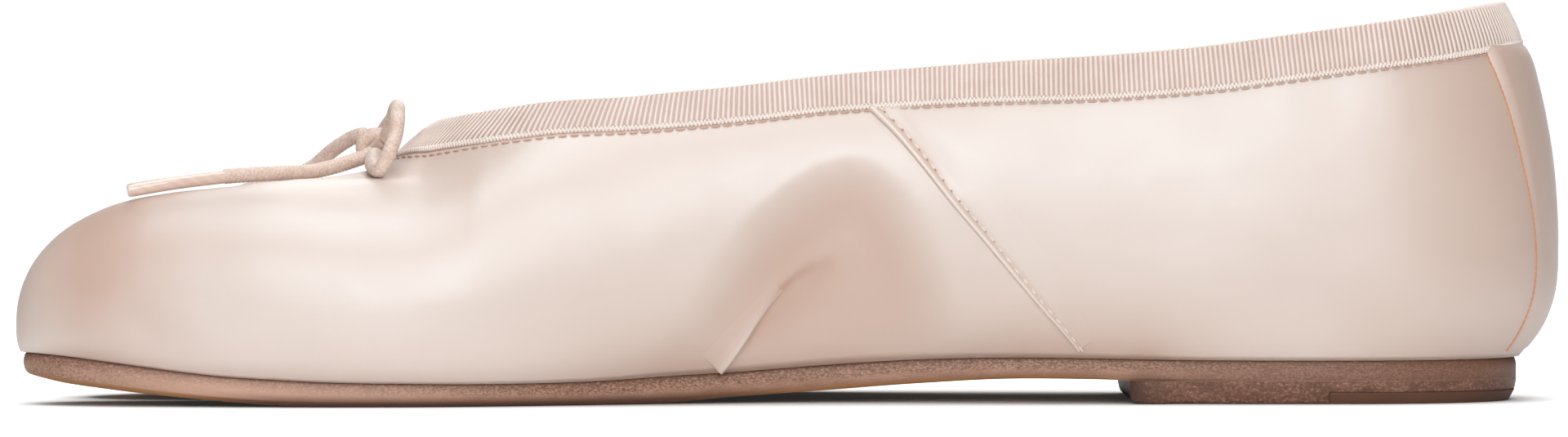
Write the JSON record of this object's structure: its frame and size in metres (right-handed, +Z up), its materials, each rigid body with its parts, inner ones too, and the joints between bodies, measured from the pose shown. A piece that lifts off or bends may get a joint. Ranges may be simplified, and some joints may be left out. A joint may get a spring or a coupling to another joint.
{
  "type": "tabi ballet flat",
  "caption": "Split-toe ballet flat for the right foot: soft satin upper, bound opening with a small cord bow, thin sole and low heel.",
  "frame": {"origin": "on the floor under the middle of the shoe's length and width", "axes": "+X from the toe to the heel, +Y to the outer (lateral) side, +Z up"},
  "size_m": [0.25, 0.0844, 0.0647],
  "materials": {
    "satin": "pale pink satin with a soft sheen",
    "grosgrain": "ribbed matte ribbon",
    "leather": "burnished brown sole leather",
    "lining": "smooth natural lining leather",
    "rubber": "matte dark brown",
    "cord": "braided matte cord",
    "film": "clear film over the cord"
  },
  "bodies": {
    "root": {"outsole": "leather", "heel_lift": "leather", "heel_tip": "rubber", "insole": "lining", "upper": "satin", "topline_binding": "grosgrain", "bow_knot": "cord", "bow_loop_medial": "cord", "bow_loop_lateral": "cord", "bow_end_medial": "cord", "bow_end_lateral": "cord", "aglet_medial": "film", "aglet_lateral": "film"}
  },
  "joints": []
}
